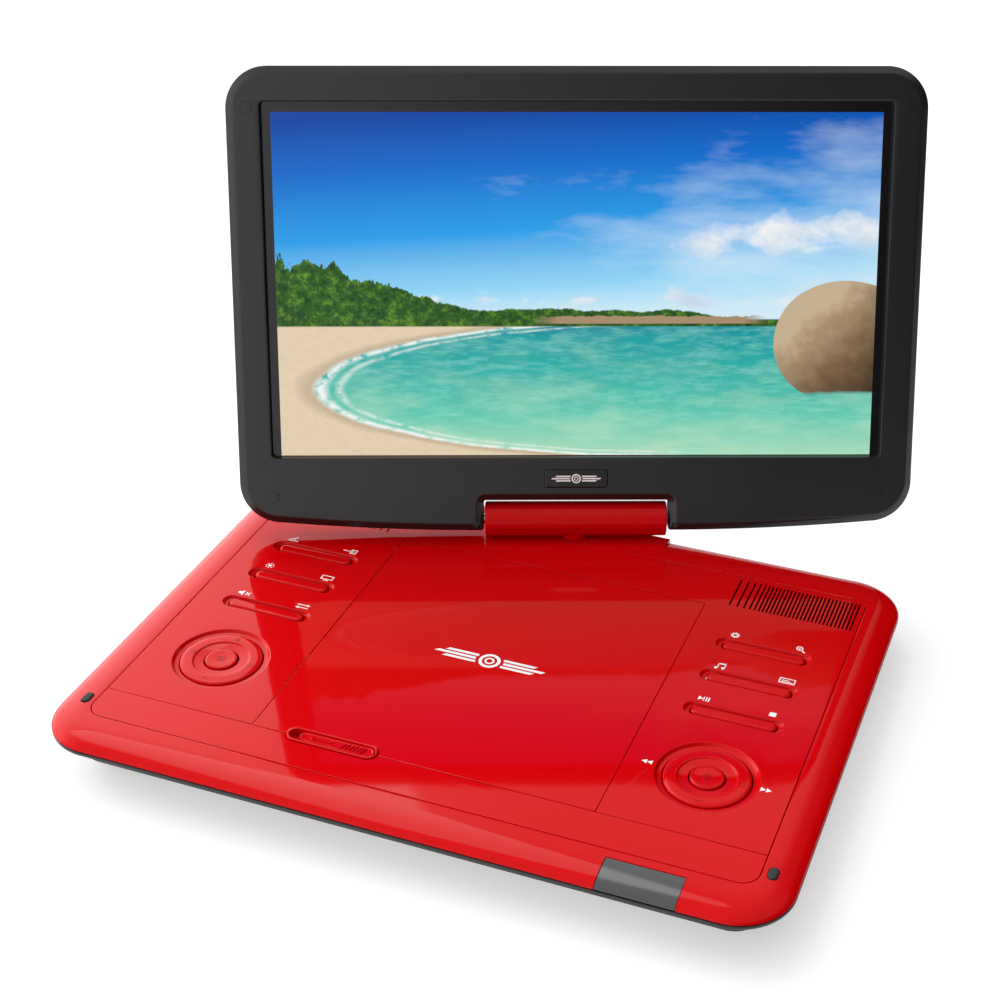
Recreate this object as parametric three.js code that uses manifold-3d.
// Portable disc player with a swivelling, tilting screen, in millimetres, +Z up.
// Every piece is one closed solid. The base is built round its own centre line, with the
// seam in front of the disc lid at y = 0, and the whole is shifted at the end so that the
// origin is the bottom centre of its bounding box.
import * as THREE from 'three';
import { mergeVertices } from 'three/addons/utils/BufferGeometryUtils.js';
import Module from 'manifold-3d';

const wasm = await Module();
wasm.setup();

// ---------------------------------------------------------------- sizes, base
const GAP = 0.3; // between two pieces that touch
const BASE_W = 355; // outer width
const FRONT_Y = -41.3; // outer front edge
const BACK_Y = 220.5; // outer back edge
const CORNER_R = 27; // outer corners, seen from above
const FOOT_H = 1.5; // how far the feet stand out below the bottom shell
const BASE_T = 25; // top plane down to the underside of the bottom shell
const TOP_Z = FOOT_H + BASE_T;
const SHOULDER_IN = 15; // width of the rolled shoulder
const SHOULDER_H = 4.2; // drop of the rolled shoulder
const BAND_H = 2.2; // black band under the shoulder
const HULL_IN = 12.5; // the tub below is this much narrower at the front and sides
const HULL_BACK_IN = 3; // and this much at the back, where the hinge needs room
const HULL_TOP = 11; // depth at which the vertical side wall starts
const HULL_CHAMFER = 5.5; // slope between side wall and underside
const WALL = 2.2; // housing wall
const PLATE = 2.4; // thickness of the top panels

// ---------------------------------------------------------------- sizes, top panels
const PANEL_W = BASE_W - 2 * 16.9; // the rim beside, in front of and behind the panels
const PANEL_FRONT = FRONT_Y + 21.6;
const PANEL_BACK = BACK_Y - 21.9;
const PANEL_R = 8; // front corners
const PANEL_BACK_R = 4.5; // back corners
const SEAM_Y = 0; // seam between front strip and panels
const LID_W = 167.2;
const LID_D = PANEL_BACK - SEAM_Y - 30.2; // the speakers lie behind it
const LEDGE = 7; // width of the ledge that carries the panels

// ---------------------------------------------------------------- sizes, controls
const COLUMN_X = (LID_W + PANEL_W) / 4; // middle of the land beside the lid
const ROCKER_X = COLUMN_X;
const ROCKER_PITCH = 27.2;
const ROCKER_Y = [2, 1, 0].map((i) => SEAM_Y + LID_D / 2 + 0.6 + i * ROCKER_PITCH);
const ROCKER_L = 41.4;
const ROCKER_D = 6.6;
const ROCKER_H = 5; // height of the bar
const ROCKER_SINK = 0.4; // its top below the panel
const ROCKER_CLEAR = 0.6; // round the bar
const DIAL_X = COLUMN_X + 0.4;
const DIAL_Y = SEAM_Y + LID_D / 2 - 44.1;
const RING_R = 20;
const RING_IN = 8.5; // hole for the centre button
const RING_SINK = 0.4;
const RING_T = 3;
const BUTTON_R = RING_IN - 0.6;
const BUTTON_SINK = 0.4;
const PRESS = 0.8; // travel of ring and centre button
const DIAL_CLEAR = 0.5;
const RECESS = 1.6; // depth of the dished land round rockers and dials
const SLIDER_X = -43.3; // centre of the slider's rim
const SLIDER_Y = 1.1;
const SLIDER_L = 45.6; // rim, outside
const SLIDER_D = 9.8;
const SLIDER_TRAVEL = 4.5;
const SPEAKER_X = COLUMN_X - 1;
const SPEAKER_Y = SEAM_Y + LID_D + 11.6;
const SPEAKER_R = 10.5;
const WINDOW_X = PANEL_W / 2 - 45.6;
const WINDOW_W = 35;
const WINDOW_BACK = FRONT_Y + 16.3;
const BUMPER_X = BASE_W / 2 - 11.9;
const BUMPER_Y = FRONT_Y + 31.6;
const BUMPER_W = 4.2;
const BUMPER_L = 7.4;
const BUMPER_UP = 0.7; // how far it stands out

// ---------------------------------------------------------------- sizes, disc drive
const DISC_Y = SEAM_Y + LID_D / 2; // spindle
const WELL_R = 62.5; // room for a 120 mm disc
const WELL_DEEP = 9.5; // top plane down to the well's floor
const DECK_T = 2;
const HUB_R = 7.3; // goes through a disc's 15 mm hole
const MOTOR_R = 12;
const PICKUP_W = 18;
const PICKUP_L = 24;
const PICKUP_Y0 = DISC_Y - 33.2; // centre of the sled at the hub end of its run
const PICKUP_RUN = 20;
const ROD_X = 15;
const ROD_R = 1.5;

// ---------------------------------------------------------------- sizes, hinge
const AXIS_Y = BACK_Y - 14.3; // swivel and tilt axes cross here
const AXIS_UP = 10; // tilt axis above the top plane
const BARREL_R = 9.4;
const BARREL_W = 96.6;
const POST_R = 7.4; // neck that shows under the barrel
const SHAFT_R = 5.2; // below the deck
const RETAINER_R = 8.4;
const RETAINER_T = 1.4;
const BRACKET_T = 1.5;
const WASHER_T = 1;
const PLATFORM_W = BARREL_W + 1.4; // flat land behind the lid that carries the hinge
const SWIVEL_DEG = 21.3; // as it stands
const TILT_DEG = 18.6; // leaning back
const PIN_R = 2.5;
const PIN_L = 32;

// ---------------------------------------------------------------- sizes, screen
const SCREEN_W = BASE_W;
const SCREEN_TOP = AXIS_Y - FRONT_Y - 12.3; // above the tilt axis
const SCREEN_BOTTOM = -5; // in the middle of the bowed lower edge
const SCREEN_BOW = 4.6; // corners of the lower edge sit this much higher
const SCREEN_R = 21.5;
const HALF_T = 8.8; // face and back, both sides of the tilt axis
const BEZEL_T = 3.4; // front frame
const NOTCH_W = BARREL_W + 1.4;
const NOTCH_TOP = BARREL_R + 2;
const OPEN_W = SCREEN_W - 35; // opening in the bezel
const OPEN_TOP = SCREEN_TOP - 17.2;
const OPEN_BOTTOM = 34.8;
const LCD_W = OPEN_W + 6;
const LCD_TOP = OPEN_TOP + 3.5;
const LCD_BOTTOM = OPEN_BOTTOM - 3.3;
const LCD_T = 4.5;

// ---------------------------------------------------------------- materials
function material(color, roughness, metalness) {
  return new THREE.MeshStandardMaterial({ color, roughness, metalness });
}

const RED = material(0xc4000d, 0.08, 0);
const RED_SATIN = material(0xb0000c, 0.25, 0);
const BLACK = material(0x161617, 0.3, 0);
const BLACK_MATTE = material(0x1b1b1c, 0.6, 0);
const RUBBER = material(0x1c1c1d, 0.85, 0);
const SMOKE = material(0x3a3a3c, 0.15, 0);
const STEEL = material(0xa9acb0, 0.3, 1);
const BOARD = material(0x1d4a2c, 0.5, 0);
const CELL = material(0x2a3b66, 0.5, 0);
const LCD = material(0x2b6f9e, 0.15, 0);

// ---------------------------------------------------------------- solids
// three.js geometry to manifold solid, and back
function solid(geometry) {
  let g = geometry.clone();
  g.deleteAttribute('normal');
  g.deleteAttribute('uv');
  g = mergeVertices(g, 1e-4);
  const mesh = new wasm.Mesh({
    numProp: 3,
    vertProperties: Float32Array.from(g.attributes.position.array),
    triVerts: Uint32Array.from(g.index.array),
  });
  return new wasm.Manifold(mesh);
}

function geometryOf(manifold) {
  const m = manifold.getMesh();
  const g = new THREE.BufferGeometry();
  g.setAttribute('position', new THREE.BufferAttribute(m.vertProperties.slice(), 3));
  g.setIndex(new THREE.BufferAttribute(m.triVerts.slice(), 1));
  const flat = g.toNonIndexed();
  flat.computeVertexNormals();
  return flat;
}

function cut(body, ...tools) {
  return tools.reduce((a, b) => a.subtract(b), body);
}

function join(body, ...others) {
  return others.reduce((a, b) => a.add(b), body);
}

// box from its low and high corners
function block(x0, x1, y0, y1, z0, z1) {
  const g = new THREE.BoxGeometry(x1 - x0, y1 - y0, z1 - z0);
  g.translate((x0 + x1) / 2, (y0 + y1) / 2, (z0 + z1) / 2);
  return solid(g);
}

// upright cylinder between two heights
function drum(x, y, r, z0, z1, sides = 32) {
  const g = new THREE.CylinderGeometry(r, r, z1 - z0, sides);
  g.rotateX(Math.PI / 2);
  g.translate(x, y, (z0 + z1) / 2);
  return solid(g);
}

// cylinder along X
function rodX(x0, x1, y, z, r, sides = 24) {
  const g = new THREE.CylinderGeometry(r, r, x1 - x0, sides);
  g.rotateZ(Math.PI / 2);
  g.translate((x0 + x1) / 2, y, z);
  return solid(g);
}

// rectangle with its own radius at the front and back corners, as a shape
function roundRect(x0, x1, y0, y1, rFront, rBack = rFront) {
  const s = new THREE.Shape();
  s.moveTo(x0 + rFront, y0);
  s.lineTo(x1 - rFront, y0);
  s.absarc(x1 - rFront, y0 + rFront, rFront, -Math.PI / 2, 0);
  s.lineTo(x1, y1 - rBack);
  s.absarc(x1 - rBack, y1 - rBack, rBack, 0, Math.PI / 2);
  s.lineTo(x0 + rBack, y1);
  s.absarc(x0 + rBack, y1 - rBack, rBack, Math.PI / 2, Math.PI);
  s.lineTo(x0, y0 + rFront);
  s.absarc(x0 + rFront, y0 + rFront, rFront, Math.PI, 1.5 * Math.PI);
  return s;
}

// bar with round ends along X, as a shape
function stadium(x, y, length, depth) {
  const r = depth / 2;
  const half = length / 2 - r;
  const s = new THREE.Shape();
  s.moveTo(x - half, y - r);
  s.lineTo(x + half, y - r);
  s.absarc(x + half, y, r, -Math.PI / 2, Math.PI / 2);
  s.lineTo(x - half, y + r);
  s.absarc(x - half, y, r, Math.PI / 2, 1.5 * Math.PI);
  return s;
}

// upright prism of a shape between two heights
function prism(shape, z0, z1, curveSegments = 6) {
  const g = new THREE.ExtrudeGeometry(shape, { depth: z1 - z0, bevelEnabled: false, curveSegments });
  g.translate(0, 0, z0);
  return solid(g);
}

// prism whose upper edge rolls in by `inset` over the height `drop`, below it straight to z0
function rolled(shape, z0, z1, inset, drop, steps, curveSegments = 6) {
  const g = new THREE.ExtrudeGeometry(shape, {
    depth: 20,
    bevelEnabled: true,
    bevelThickness: drop,
    bevelSize: inset,
    bevelOffset: -inset,
    bevelSegments: steps,
    curveSegments,
  });
  g.translate(0, 0, z1 - drop - 20);
  const big = 2000;
  return solid(g).intersect(block(-big, big, -big, big, z0, z1 + 1));
}

// the same with the edge at the bottom
function rolledUnder(shape, z0, z1, inset, rise, steps, curveSegments = 5) {
  return rolled(shape, -z1, -z0, inset, rise, steps, curveSegments).mirror([0, 0, 1]);
}

function piece(name, manifold, look) {
  const mesh = new THREE.Mesh(geometryOf(manifold), look);
  mesh.name = name;
  return mesh;
}

// ---------------------------------------------------------------- base outlines
function baseOutline(inset) {
  const r = Math.max(CORNER_R - inset, 4);
  const half = BASE_W / 2 - inset;
  return roundRect(-half, half, FRONT_Y + inset, BACK_Y - inset, r);
}

// the tub under the band: narrower at the front and sides, nearly full at the back
function tubOutline(inset) {
  const half = BASE_W / 2 - HULL_IN - inset;
  const r = CORNER_R - HULL_IN - inset;
  return roundRect(-half, half, FRONT_Y + HULL_IN + inset, BACK_Y - HULL_BACK_IN - inset, r);
}

function panelOutline(grow) {
  const half = PANEL_W / 2 + grow;
  return roundRect(-half, half, PANEL_FRONT - grow, PANEL_BACK + grow, PANEL_R, PANEL_BACK_R);
}

const BAND_TOP = TOP_Z - SHOULDER_H;
const BAND_BOTTOM = BAND_TOP - BAND_H;
const HULL_Z = TOP_Z - HULL_TOP;
const SLOPE_H = BAND_BOTTOM - HULL_Z;
const LEDGE_Z = TOP_Z - PLATE - GAP;
const RIM_Z = BAND_TOP + GAP / 2; // underside of the red shell
const HULL_X = BASE_W / 2 - HULL_IN; // the vertical side wall

// ---------------------------------------------------------------- housing
const PORTS = [
  // name, y, width, height, material
  ['dc_inlet', BACK_Y - 38.5, 9, 8, BLACK],
  ['power_switch_bay', BACK_Y - 60.5, 15, 4.6, BLACK],
  ['av_jack', BACK_Y - 82.5, 8.4, 8, BLACK],
  ['headphone_jack', BACK_Y - 98.5, 8.4, 8, BLACK],
  ['usb_port', BACK_Y - 120.5, 14.2, 6.6, STEEL],
  ['card_slot', BACK_Y - 152.5, 27, 4, BLACK],
];
const PORT_Z = TOP_Z - 15.6;
const PORT_DEPTH = 12;

function portBlock(y, w, h, grow) {
  const x1 = HULL_X + 5;
  const halfW = w / 2 + grow;
  const halfH = h / 2 + grow;
  return block(HULL_X - 40, x1, y - halfW, y + halfW, PORT_Z - halfH, PORT_Z + halfH);
}

function bottomShell() {
  const band = rolledUnder(baseOutline(0), HULL_Z, BAND_TOP - GAP / 2, HULL_IN, SLOPE_H, 1);
  const tub = rolledUnder(tubOutline(0), FOOT_H, BAND_BOTTOM + 0.5, HULL_CHAMFER, HULL_CHAMFER, 1);
  const inside = rolledUnder(
    tubOutline(WALL), FOOT_H + WALL, TOP_Z, HULL_CHAMFER, HULL_CHAMFER, 1);
  const shelf = rolledUnder(
    baseOutline(WALL), HULL_Z + 2.4, TOP_Z, HULL_IN - WALL, SLOPE_H, 1);
  let shell = cut(join(band, tub), inside, shelf);
  for (const [, y, w, h] of PORTS) {
    shell = cut(shell, portBlock(y, w, h, GAP));
  }
  const door = BATTERY;
  shell = cut(
    shell,
    block(door.x0 - GAP, door.x1 + GAP, door.y0 - GAP, door.y1 + GAP, -1, FOOT_H + WALL + 1));
  for (const [x, y] of FEET) {
    shell = cut(shell, drum(x, y, FOOT_R + GAP, -1, FOOT_H + 0.8, 24));
  }
  return shell;
}

const BATTERY = { x0: -60, x1: 60, y0: BACK_Y - 70.5, y1: BACK_Y - 28.5 };
const FOOT_R = 7;
const FEET = [-1, 1].flatMap((end) => [-1, 1].map((side) => [
  side * (BASE_W / 2 - 42.5), end < 0 ? FRONT_Y + 37.3 : BACK_Y - 37.5]));

function platform(grow) {
  const half = PLATFORM_W / 2 + grow;
  return block(-half, half, PANEL_BACK - 1, BACK_Y - 1.5 + grow, TOP_Z - SHOULDER_H, TOP_Z);
}

function topShell() {
  const skin = rolled(baseOutline(0), RIM_Z, TOP_Z, SHOULDER_IN, SHOULDER_H, 4);
  const ledgeHole = prism(panelOutline(-LEDGE), RIM_Z - 5, TOP_Z + 1);
  const pocket = prism(panelOutline(GAP), LEDGE_Z, TOP_Z + 1);
  let shell = cut(join(skin, platform(0)), ledgeHole, pocket);
  shell = cut(shell, windowTool(GAP));
  shell = cut(shell, drum(0, AXIS_Y, SHAFT_R + GAP, 0, TOP_Z + 1, 32));
  for (const side of [-1, 1]) {
    shell = cut(shell, prism(bumperShape(side, GAP), TOP_Z - 2 - GAP, TOP_Z + 1, 5));
  }
  return shell;
}

function bumperShape(side, grow) {
  const s = stadium(0, 0, BUMPER_L + 2 * grow, BUMPER_W + 2 * grow);
  const turned = new THREE.Shape();
  turned.setFromPoints(s.getPoints(5).map(
    (p) => new THREE.Vector2(side * BUMPER_X - p.y, BUMPER_Y + p.x)));
  return turned;
}

function bumper(side) {
  return prism(bumperShape(side, 0), TOP_Z - 2, TOP_Z + BUMPER_UP, 5);
}

// wedge that the remote window fills, cut out of the front slope
function windowTool(grow) {
  const half = WINDOW_W / 2 + grow;
  return block(
    WINDOW_X - half, WINDOW_X + half, FRONT_Y - 5, WINDOW_BACK + grow, RIM_Z - 1, TOP_Z + 1);
}

function irWindow() {
  const skin = rolled(baseOutline(0.4), RIM_Z + GAP, TOP_Z - 0.35, SHOULDER_IN, SHOULDER_H - 0.35, 5);
  return skin.intersect(windowTool(0));
}

// ---------------------------------------------------------------- panels
function sliderRim(grow) {
  return prism(stadium(SLIDER_X, SLIDER_Y, SLIDER_L + 2 * grow, SLIDER_D + 2 * grow), 0, TOP_Z + 2);
}

function rockerWell(x, y) {
  const grow = 2 * ROCKER_CLEAR;
  return prism(stadium(x, y, ROCKER_L + grow, ROCKER_D + grow), 0, TOP_Z + 1, 4);
}

function rockerDish(x, y) {
  const s = stadium(x, y, ROCKER_L + 6.8, ROCKER_D + 2.4);
  return prism(s, TOP_Z - RECESS, TOP_Z + 1, 4);
}

function controlPanel() {
  const all = prism(panelOutline(0), TOP_Z - PLATE, TOP_Z, 6);
  const front = block(-300, 300, -100, SEAM_Y + GAP, 0, 100);
  const lidHole = block(
    -LID_W / 2 - GAP, LID_W / 2 + GAP, -100, SEAM_Y + LID_D + GAP, 0, 100);
  let panel = cut(all, front, lidHole, sliderRim(GAP));
  for (const side of [-1, 1]) {
    for (const y of ROCKER_Y) {
      panel = cut(panel, rockerWell(side * ROCKER_X, y), rockerDish(side * ROCKER_X, y));
    }
    panel = cut(panel, drum(side * DIAL_X, DIAL_Y, RING_R + DIAL_CLEAR, 0, TOP_Z + 1, 32));
    panel = cut(panel, drum(side * DIAL_X, DIAL_Y, RING_R + 3.4, TOP_Z - RECESS, TOP_Z + 1, 32));
  }
  const pins = rodX(-LID_W / 2 - PIVOT_L, LID_W / 2 + PIVOT_L, PIVOT_Y, PIVOT_Z, PIVOT_R + 0.3, 16);
  return cut(panel, pins);
}

function frontTrimStrip() {
  const all = prism(panelOutline(0), TOP_Z - PLATE, TOP_Z, 6);
  const rear = block(-300, 300, SEAM_Y, 400, 0, 100);
  return cut(all, rear, sliderRim(GAP));
}

// the slider's frame is part of the deck moulding and stands in the lid's front edge
const PIVOT_R = 0.7;
const PIVOT_L = 2.2;
const PIVOT_Z = TOP_Z - PLATE / 2;
const PIVOT_Y = SEAM_Y + LID_D - PLATE / 2;

function discLid() {
  const half = LID_W / 2;
  const plate = block(-half, half, SEAM_Y + GAP, PIVOT_Y, TOP_Z - PLATE, TOP_Z);
  const nose = rodX(-half, half, PIVOT_Y, PIVOT_Z, PLATE / 2, 24);
  const pivots = rodX(-half - PIVOT_L + 0.3, half + PIVOT_L - 0.3, PIVOT_Y, PIVOT_Z, PIVOT_R, 16);
  let lid = join(plate, nose, pivots);
  lid = cut(lid, sliderRim(GAP));
  // catch that the slider's hook holds, and the disc clearance rim on the underside
  const rim = drum(0, DISC_Y, WELL_R + 3, TOP_Z - PLATE - 1, TOP_Z - PLATE + 0.5, 48);
  const rimIn = drum(0, DISC_Y, WELL_R + 1.5, TOP_Z - PLATE - 2, TOP_Z - PLATE, 48);
  lid = join(lid, cut(rim, rimIn));
  const cx = SLIDER_X + 10;
  const tongue = block(cx - 4, cx + 4, SLIDER_Y + SLIDER_D / 2 + GAP, 12, TOP_Z - 6, TOP_Z - PLATE + 0.5);
  const eye = block(cx - 3, cx + 3, 0, 9.5, TOP_Z - 5, TOP_Z - 3.4);
  return cut(join(lid, tongue), eye);
}

// ---------------------------------------------------------------- slider
const SLIDER_RIM_T = 1.6;
const KNOB_L = SLIDER_L - 2 * SLIDER_RIM_T - SLIDER_TRAVEL - 1;
const KNOB_D = SLIDER_D - 2 * SLIDER_RIM_T - 0.6;
const KNOB_X = SLIDER_X + SLIDER_L / 2 - SLIDER_RIM_T - 0.5 - KNOB_L / 2;

function sliderBezel() {
  const outer = prism(stadium(SLIDER_X, SLIDER_Y, SLIDER_L, SLIDER_D), LEDGE_Z - 4.6, TOP_Z + 0.7);
  const inner = prism(
    stadium(SLIDER_X, SLIDER_Y, SLIDER_L - 2 * SLIDER_RIM_T, SLIDER_D - 2 * SLIDER_RIM_T),
    TOP_Z - 3.2, TOP_Z + 2);
  const slot = block(
    KNOB_X - 3 - SLIDER_TRAVEL, KNOB_X + 12, SLIDER_Y - 1.4, SLIDER_Y + 1.4, 0, TOP_Z);
  return cut(outer, inner, slot);
}

function openSlider() {
  let knob = prism(stadium(KNOB_X, SLIDER_Y, KNOB_L, KNOB_D), TOP_Z - 2.6, TOP_Z + 0.2);
  const stem = block(KNOB_X - 2, KNOB_X + 2, SLIDER_Y - 1, SLIDER_Y + 1, TOP_Z - 9, TOP_Z - 2);
  knob = join(knob, stem);
  for (let i = 0; i < 7; i += 1) {
    const x = KNOB_X + 3 + i * 1.9;
    knob = join(knob, block(x, x + 0.8, SLIDER_Y - 2, SLIDER_Y + 2, TOP_Z, TOP_Z + 0.6));
  }
  return knob;
}

// ---------------------------------------------------------------- buttons
function rocker(side, y) {
  const x = side * ROCKER_X;
  const top = TOP_Z - ROCKER_SINK;
  const bar = rolled(stadium(x, y, ROCKER_L, ROCKER_D), top - ROCKER_H, top, 1.2, 0.7, 2, 4);
  const lip = block(x - 14, x + 14, y - 2, y + 2, top - ROCKER_H - 1, top - ROCKER_H + 1);
  return join(bar, lip);
}

function dialRing(side) {
  const x = side * DIAL_X;
  const z1 = TOP_Z - RING_SINK;
  const disc = drum(x, DIAL_Y, RING_R, z1 - RING_T, z1, 32);
  const hole = drum(x, DIAL_Y, RING_IN, z1 - RING_T - 1, z1 + 1, 24);
  const dish = drum(x, DIAL_Y, 13.5, z1 - 0.4, z1 + 1, 24);
  return cut(disc, hole, dish);
}

function centreButton(side) {
  const x = side * DIAL_X;
  const z1 = TOP_Z - BUTTON_SINK;
  return join(
    drum(x, DIAL_Y, BUTTON_R, z1 - 4.6, z1 - 0.3, 24),
    drum(x, DIAL_Y, BUTTON_R - 0.5, z1 - 0.5, z1, 24));
}

// ---------------------------------------------------------------- disc drive
function discDeck() {
  const half = LID_W / 2 - 1;
  const y0 = SLIDER_Y + SLIDER_D / 2 + 8;
  const top = TOP_Z - PLATE - GAP - 1.4;
  const body = block(-half, half, y0, SEAM_Y + LID_D - 6, TOP_Z - WELL_DEEP - DECK_T, top);
  const well = drum(0, DISC_Y, WELL_R, TOP_Z - WELL_DEEP, TOP_Z, 64);
  const bore = drum(0, DISC_Y, MOTOR_R + 0.6, 0, TOP_Z, 32);
  const slotHalf = PICKUP_W / 2 + 1;
  const slot = block(
    -slotHalf, slotHalf, PICKUP_Y0 - PICKUP_RUN - PICKUP_L / 2 - 1, DISC_Y, 0, TOP_Z);
  const under = block(
    -half + 3, half - 3, y0 + 3, SEAM_Y + LID_D - 9, 0, TOP_Z - WELL_DEEP - DECK_T + 0.01);
  return cut(body, well, bore, slot, under);
}

function spindleMotor() {
  const z0 = FOOT_H + WALL + 2.2;
  return join(
    drum(0, DISC_Y, MOTOR_R, z0, TOP_Z - WELL_DEEP - 0.5, 32),
    block(-19, 19, DISC_Y - 4, DISC_Y + 14, z0, z0 + 1.2));
}

function spindleHub() {
  const z0 = TOP_Z - WELL_DEEP - 0.2;
  const cone = new THREE.LatheGeometry([
    new THREE.Vector2(0, 0),
    new THREE.Vector2(MOTOR_R - 0.5, 0),
    new THREE.Vector2(MOTOR_R - 0.5, 1.4),
    new THREE.Vector2(HUB_R, 1.4),
    new THREE.Vector2(HUB_R, 3),
    new THREE.Vector2(HUB_R - 1.4, 4.2),
    new THREE.Vector2(0, 4.2),
  ], 28);
  cone.rotateX(Math.PI / 2);
  cone.translate(0, DISC_Y, z0);
  return solid(cone);
}

function opticalPickup() {
  const y = PICKUP_Y0;
  const z0 = TOP_Z - WELL_DEEP - 8;
  const half = PICKUP_W / 2;
  let sled = block(-half, half, y - PICKUP_L / 2, y + PICKUP_L / 2, z0, z0 + 6.2);
  for (const side of [-1, 1]) {
    const ear = block(
      side * ROD_X - 3.2, side * ROD_X + 3.2, y - 7, y + 7, z0 + 0.2, z0 + 5);
    const arm = block(
      Math.min(side * 8, side * ROD_X), Math.max(side * 8, side * ROD_X), y - 7, y + 7,
      z0 + 0.2, z0 + 5);
    sled = join(sled, ear, arm);
  }
  sled = join(sled, drum(0, y + 3, 4, z0 + 6, z0 + 7.4, 24));
  for (const side of [-1, 1]) {
    sled = cut(sled, rodY(side * ROD_X, y - 20, y + 20, z0 + 2.6, ROD_R + 0.2));
  }
  return sled;
}

function rodY(x, y0, y1, z, r, sides = 16) {
  const g = new THREE.CylinderGeometry(r, r, y1 - y0, sides);
  g.translate(x, (y0 + y1) / 2, z);
  return solid(g);
}

function guideRod(side) {
  const z = TOP_Z - WELL_DEEP - 8 + 2.6;
  return rodY(side * ROD_X, PICKUP_Y0 - PICKUP_RUN - 12, PICKUP_Y0 + 12, z, ROD_R);
}

// ---------------------------------------------------------------- inside the base
function mainBoard() {
  const z0 = FOOT_H + WALL + 0.4;
  const board = block(-70, 70, DISC_Y - 98, BATTERY.y0 - 10, z0, z0 + 1.6);
  const chips = join(
    block(-60, -40, DISC_Y + 16, DISC_Y + 36, z0 + 1, z0 + 3.6),
    block(40, 62, DISC_Y - 24, DISC_Y - 2, z0 + 1, z0 + 3.6),
    block(-50, -25, DISC_Y - 80, DISC_Y - 66, z0 + 1, z0 + 5));
  return cut(join(board, chips), drum(0, DISC_Y, MOTOR_R + 10, 0, z0 + 10, 24));
}

function batteryPack() {
  const b = BATTERY;
  return block(b.x0 + 2, b.x1 - 2, b.y0 + 2, b.y1 - 2, FOOT_H + WALL + GAP, FOOT_H + WALL + 10.8);
}

function batteryDoor() {
  const b = BATTERY;
  const door = block(b.x0, b.x1, b.y0, b.y1, FOOT_H, FOOT_H + WALL);
  return cut(door, drum(0, b.y0 + 5, 2.6, 0, 20, 20));
}

function batteryScrew() {
  const y = BATTERY.y0 + 5;
  const head = drum(0, y, 2.3, FOOT_H + 0.3, FOOT_H + 1.8, 20);
  const cross = join(
    block(-1.4, 1.4, y - 0.3, y + 0.3, 0, FOOT_H + 0.9),
    block(-0.3, 0.3, y - 1.4, y + 1.4, 0, FOOT_H + 0.9));
  return cut(head, cross);
}

function foot(x, y) {
  return drum(x, y, FOOT_R, 0, FOOT_H + 0.5, 24);
}

function speaker(side) {
  const x = side * SPEAKER_X;
  const z1 = TOP_Z - PLATE - GAP;
  const basket = drum(x, SPEAKER_Y, SPEAKER_R, z1 - 4, z1, 24);
  const magnet = drum(x, SPEAKER_Y, SPEAKER_R * 0.65, z1 - 9, z1 - 3.5, 20);
  const dish = new THREE.LatheGeometry([
    new THREE.Vector2(0, -3),
    new THREE.Vector2(SPEAKER_R - 2, 0.5),
    new THREE.Vector2(0, 0.5),
  ], 24);
  dish.rotateX(Math.PI / 2);
  dish.translate(x, SPEAKER_Y, z1);
  return cut(join(basket, magnet), solid(dish));
}

function irReceiver() {
  const y = WINDOW_BACK + 4;
  return join(
    block(WINDOW_X - 12, WINDOW_X + 12, y, y + 1.6, TOP_Z - 12, TOP_Z - 4.6),
    block(WINDOW_X - 3, WINDOW_X + 3, y - 3, y + 1, TOP_Z - 10, TOP_Z - 5));
}

// ---------------------------------------------------------------- ports in the right side
function jack(y, r, bore) {
  const x1 = HULL_X + 0.4;
  const body = block(x1 - PORT_DEPTH, x1 - 1, y - 4, y + 4, PORT_Z - 3.8, PORT_Z + 3.8);
  const ring = rodX(x1 - 2, x1, y, PORT_Z, r, 24);
  return cut(join(body, ring), rodX(x1 - PORT_DEPTH + 2, x1 + 1, y, PORT_Z, bore, 20));
}

function usbPort(y, w, h) {
  const x1 = HULL_X;
  const shell = block(x1 - PORT_DEPTH, x1, y - w / 2, y + w / 2, PORT_Z - h / 2, PORT_Z + h / 2);
  const mouth = block(
    x1 - PORT_DEPTH + 2, x1 + 1, y - w / 2 + 0.8, y + w / 2 - 0.8,
    PORT_Z - h / 2 + 0.8, PORT_Z + h / 2 - 0.8);
  const tongue = block(
    x1 - PORT_DEPTH + 1, x1 - 1.5, y - w / 2 + 2, y + w / 2 - 2, PORT_Z + 0.2, PORT_Z + 1.6);
  return join(cut(shell, mouth), tongue);
}

function cardSlot(y, w, h) {
  const x1 = HULL_X;
  const body = block(x1 - PORT_DEPTH, x1, y - w / 2, y + w / 2, PORT_Z - h / 2, PORT_Z + h / 2);
  const mouth = block(
    x1 - PORT_DEPTH + 2, x1 + 1, y - w / 2 + 1, y + w / 2 - 1, PORT_Z - 1.1, PORT_Z + 1.1);
  return cut(body, mouth);
}

function dcInlet(y) {
  const x1 = HULL_X + 0.2;
  const body = block(x1 - PORT_DEPTH, x1, y - 4.4, y + 4.4, PORT_Z - 3.9, PORT_Z + 3.9);
  const bore = rodX(x1 - PORT_DEPTH + 2, x1 + 1, y, PORT_Z, 2.9, 24);
  const pin = rodX(x1 - PORT_DEPTH + 1, x1 - 1.2, y, PORT_Z, 0.8, 12);
  return join(cut(body, bore), pin);
}

const SWITCH_TRAVEL = 4;

function powerSwitch(y) {
  const x1 = HULL_X + 1.2;
  const cap = block(x1 - 3.4, x1, y - 3, y + 3, PORT_Z - 2, PORT_Z + 2);
  const stem = block(x1 - 9, x1 - 3, y - 2, y + 2, PORT_Z - 1.2, PORT_Z + 1.2);
  return join(cap, stem);
}

// ---------------------------------------------------------------- hinge
const AXIS_Z = TOP_Z + AXIS_UP;
const PLATE_UNDER = TOP_Z - SHOULDER_H;

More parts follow.
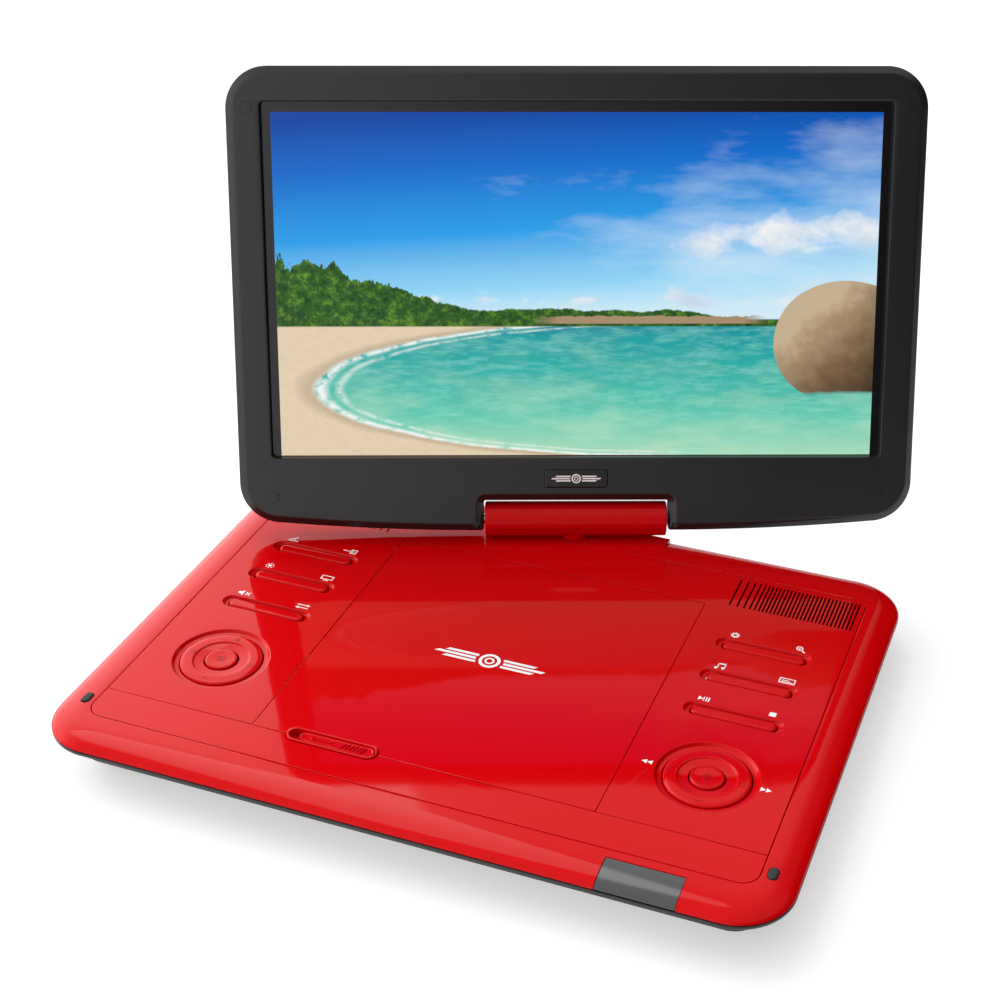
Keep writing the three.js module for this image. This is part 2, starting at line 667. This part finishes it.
// in the swivel group: origin where the two axes cross
function hingeBarrel() {
  const half = BARREL_W / 2;
  let barrel = rodX(-half, half, 0, 0, BARREL_R, 40);
  barrel = cut(barrel, drum(0, 0, POST_R + GAP, -BARREL_R - 1, -3, 32));
  for (const side of [-1, 1]) {
    const inner = half - PIN_L / 2 - 2;
    barrel = cut(barrel, rodX(
      Math.min(side * inner, side * (half + 1)), Math.max(side * inner, side * (half + 1)),
      0, 0, PIN_R + GAP, 24));
  }
  return barrel;
}

function swivelPost() {
  const deck = TOP_Z - AXIS_Z;
  const neck = drum(0, 0, POST_R, deck + GAP, -3 - GAP, 32);
  const shaftEnd = RETAINER_Z - AXIS_Z;
  const shaft = drum(0, 0, SHAFT_R, shaftEnd, -4, 32);
  const retainer = drum(0, 0, RETAINER_R, shaftEnd, shaftEnd + RETAINER_T, 32);
  const bore = drum(0, 0, 3, shaftEnd - 1, -6, 24);
  return cut(join(neck, shaft, retainer), bore);
}

// the parts under the deck stack downwards from its underside
const BRACKET_Z = PLATE_UNDER - 0.1 - BRACKET_T;
const WASHER_Z = BRACKET_Z - 0.2 - WASHER_T;
const RETAINER_Z = WASHER_Z - 0.2 - RETAINER_T;

function hingeBracket() {
  const plate = block(-30, 30, AXIS_Y - 13, AXIS_Y + 7.4, BRACKET_Z, BRACKET_Z + BRACKET_T);
  return cut(plate, drum(0, AXIS_Y, SHAFT_R + GAP, 0, TOP_Z, 32));
}

function swivelWasher() {
  const z0 = WASHER_Z - AXIS_Z;
  const hole = drum(0, 0, SHAFT_R + 0.2, z0 - 1, z0 + 3, 32);
  return cut(drum(0, 0, RETAINER_R, z0, z0 + WASHER_T, 32), hole);
}

// in the tilt group: X along the screen's width, Z up the screen, -Y out of its face
function tiltPin(side) {
  const a = side * (BARREL_W / 2 - PIN_L / 2);
  const b = side * (BARREL_W / 2 + PIN_L / 2);
  return rodX(Math.min(a, b), Math.max(a, b), 0, 0, PIN_R, 20);
}

function hingeLeaf(side) {
  const x0 = NOTCH_W / 2 + WALL + 4.5;
  const x1 = x0 + 14;
  const a = Math.min(side * x0, side * x1);
  const b = Math.max(side * x0, side * x1);
  const saddle = block(a, b, -3.4, 2, -1.9, 6);
  const plate = block(a, b, 1, 4, 4, 28);
  return cut(join(saddle, plate), rodX(-200, 200, 0, 0, PIN_R + GAP, 20));
}

// ---------------------------------------------------------------- screen
// outline in the screen's plane: x across, y up from the tilt axis
function screenShape(inset) {
  const half = SCREEN_W / 2 - inset;
  const top = SCREEN_TOP - inset;
  const low = SCREEN_BOTTOM + inset;
  const side = low + SCREEN_BOW;
  const r = SCREEN_R - inset;
  const notch = NOTCH_W / 2 + inset;
  const bowY = (x) => low + SCREEN_BOW * Math.max(0, (Math.abs(x) - notch) / (half - r - notch)) ** 2;
  const s = new THREE.Shape();
  s.moveTo(-notch, low);
  s.lineTo(-notch, NOTCH_TOP + inset);
  s.lineTo(notch, NOTCH_TOP + inset);
  s.lineTo(notch, low);
  const steps = 5;
  for (let i = 1; i <= steps; i += 1) {
    const x = notch + ((half - r - notch) * i) / steps;
    s.lineTo(x, bowY(x));
  }
  s.absarc(half - r, side + r, r, -Math.PI / 2, 0);
  s.lineTo(half, top - r);
  s.absarc(half - r, top - r, r, 0, Math.PI / 2);
  s.lineTo(-half + r, top);
  s.absarc(-half + r, top - r, r, Math.PI / 2, Math.PI);
  s.lineTo(-half, side + r);
  s.absarc(-half + r, side + r, r, Math.PI, 1.5 * Math.PI);
  for (let i = steps - 1; i >= 1; i -= 1) {
    const x = notch + ((half - r - notch) * i) / steps;
    s.lineTo(-x, bowY(x));
  }
  return s;
}

// stand a solid drawn flat (z out of the face) up in the tilt group
function upright(manifold) {
  return manifold.rotate([90, 0, 0]);
}

const FACE_Z = HALF_T; // out of the face, in the flat drawing
const SPLIT_Z = HALF_T - BEZEL_T;
const WINDOW_R = 2;

function lcdHole(grow, z0, z1) {
  const s = roundRect(
    -OPEN_W / 2 - grow, OPEN_W / 2 + grow, OPEN_BOTTOM - grow, OPEN_TOP + grow, WINDOW_R);
  return prism(s, z0, z1, 3);
}

function screenBezel() {
  const plate = rolled(screenShape(0), SPLIT_Z, FACE_Z, 3.2, 1.6, 2);
  let frame = cut(plate, lcdHole(0, 0, 40));
  frame = cut(frame, prism(plateShape(GAP), FACE_Z - 0.6, FACE_Z + 2, 3));
  for (const [x, y] of SCREW_COVERS) {
    frame = cut(frame, drum(x, y, COVER_R + GAP, FACE_Z - 0.8, FACE_Z + 2, 20));
  }
  const pinBay = block(-NOTCH_W / 2 - 20, NOTCH_W / 2 + 20, -7, 8, -20, SPLIT_Z + 0.3);
  return upright(cut(frame, pinBay.intersect(prism(screenShape(1.5), 0, 40))));
}

function screenBackCover() {
  const body = rolledUnder(screenShape(0), -HALF_T, SPLIT_Z - GAP, 7, 5, 3);
  const inside = rolledUnder(screenShape(WALL), -HALF_T + WALL, 40, 7, 5, 1);
  let tray = cut(body, inside);
  tray = cut(tray, rodX(-NOTCH_W / 2 - 9, NOTCH_W / 2 + 9, 0, 0, PIN_R + GAP, 20));
  return upright(tray);
}

function lcdPanel() {
  const z1 = SPLIT_Z - GAP;
  const s = roundRect(-LCD_W / 2, LCD_W / 2, LCD_BOTTOM, LCD_TOP, 1);
  return upright(prism(s, z1 - LCD_T, z1, 2));
}

function screenBoard() {
  const z1 = SPLIT_Z - GAP - LCD_T - 1.4;
  return upright(join(
    block(-55, 55, SCREEN_TOP / 2 - 48, SCREEN_TOP / 2 + 12, z1 - 1.6, z1),
    block(-20, 0, SCREEN_TOP / 2 - 28, SCREEN_TOP / 2 - 8, z1 - 3.4, z1 - 1)));
}

function plateShape(grow) {
  return roundRect(-16.6 - grow, 16.6 + grow, 18.8 - grow, 28.4 + grow, 1.5 + grow);
}

function nameplate() {
  return upright(prism(plateShape(0), FACE_Z - 0.3, FACE_Z + 0.25, 3));
}

const COVER_R = 3;
const SCREW_COVERS = [-1, 1].flatMap((side) => [
  [side * (SCREEN_W / 2 - 10.9), SCREEN_TOP - 20.4],
  [side * (SCREEN_W / 2 - 18), 13.6]]);

function screwCover(x, y) {
  return upright(rolled(circle(x, y, COVER_R), FACE_Z - 0.5, FACE_Z + 0.25, 0.6, 0.4, 2, 5));
}

function circle(x, y, r) {
  const s = new THREE.Shape();
  s.absarc(x, y, r, 0, 2 * Math.PI);
  return s;
}

// ---------------------------------------------------------------- assembly
function buildBase() {
  const base = new THREE.Group();
  base.add(piece('bottom_shell', bottomShell(), BLACK));
  base.add(piece('top_shell', topShell(), RED));
  base.add(piece('control_panel', controlPanel(), RED));
  base.add(piece('front_trim_strip', frontTrimStrip(), RED));
  base.add(piece('disc_lid', discLid(), RED));
  base.add(piece('slider_bezel', sliderBezel(), RED));
  base.add(piece('open_slider', openSlider(), RED));
  base.add(piece('ir_window', irWindow(), SMOKE));
  base.add(piece('disc_deck', discDeck(), BLACK_MATTE));
  base.add(piece('spindle_motor', spindleMotor(), STEEL));
  base.add(piece('spindle_hub', spindleHub(), BLACK));
  base.add(piece('optical_pickup', opticalPickup(), BLACK_MATTE));
  base.add(piece('main_board', mainBoard(), BOARD));
  base.add(piece('battery_pack', batteryPack(), CELL));
  base.add(piece('battery_door', batteryDoor(), BLACK));
  base.add(piece('battery_door_screw', batteryScrew(), STEEL));
  base.add(piece('ir_receiver', irReceiver(), BLACK));
  FEET.forEach(([x, y], i) => {
    base.add(piece(`foot_${i + 1}`, foot(x, y), RUBBER));
  });
  for (const [side, label] of [[-1, 'left'], [1, 'right']]) {
    base.add(piece(`bumper_${label}`, bumper(side), RUBBER));
    base.add(piece(`speaker_${label}`, speaker(side), BLACK_MATTE));
    base.add(piece(`guide_rod_${label}`, guideRod(side), STEEL));
    base.add(piece(`dial_ring_${label}`, dialRing(side), RED));
    base.add(piece(`centre_button_${label}`, centreButton(side), RED));
    ROCKER_Y.forEach((y, i) => {
      base.add(piece(`rocker_${label}_${i + 1}`, rocker(side, y), RED));
    });
  }
  base.add(...buildPorts());
  base.add(piece('hinge_bracket', hingeBracket(), STEEL));
  return base;
}

function buildPorts() {
  const at = Object.fromEntries(PORTS.map(([name, y, w, h]) => [name, { y, w, h }]));
  return [
    piece('usb_port', usbPort(at.usb_port.y, at.usb_port.w, at.usb_port.h), STEEL),
    piece('card_slot', cardSlot(at.card_slot.y, at.card_slot.w, at.card_slot.h), BLACK),
    piece('headphone_jack', jack(at.headphone_jack.y, 4, 1.8), BLACK),
    piece('av_jack', jack(at.av_jack.y, 4, 1.8), BLACK),
    piece('dc_inlet', dcInlet(at.dc_inlet.y), BLACK),
    piece('power_switch', powerSwitch(at.power_switch_bay.y), BLACK_MATTE),
  ];
}

function buildScreen() {
  const screen = new THREE.Group();
  screen.add(piece('screen_bezel', screenBezel(), BLACK));
  screen.add(piece('screen_back_cover', screenBackCover(), BLACK));
  screen.add(piece('lcd_panel', lcdPanel(), LCD));
  screen.add(piece('screen_board', screenBoard(), BOARD));
  screen.add(piece('nameplate', nameplate(), BLACK));
  SCREW_COVERS.forEach(([x, y], i) => {
    screen.add(piece(`screw_cover_${i + 1}`, screwCover(x, y), BLACK_MATTE));
  });
  for (const [side, label] of [[-1, 'left'], [1, 'right']]) {
    screen.add(piece(`tilt_pin_${label}`, tiltPin(side), STEEL));
    screen.add(piece(`hinge_leaf_${label}`, hingeLeaf(side), STEEL));
  }
  screen.rotation.x = THREE.MathUtils.degToRad(-TILT_DEG);
  return screen;
}

function buildHinge() {
  const swivel = new THREE.Group();
  swivel.position.set(0, AXIS_Y, AXIS_Z);
  swivel.rotation.z = THREE.MathUtils.degToRad(SWIVEL_DEG);
  swivel.add(piece('hinge_barrel', hingeBarrel(), RED));
  swivel.add(piece('swivel_post', swivelPost(), RED_SATIN));
  swivel.add(piece('swivel_washer', swivelWasher(), STEEL));
  swivel.add(buildScreen());
  return swivel;
}

const player = new THREE.Group();
player.add(buildBase());
player.add(buildHinge());
player.updateMatrixWorld(true);
const bounds = new THREE.Box3().setFromObject(player, true);
const centre = bounds.getCenter(new THREE.Vector3());
player.position.set(-centre.x, -centre.y, -bounds.min.z);
player.updateMatrixWorld(true);

export default player;
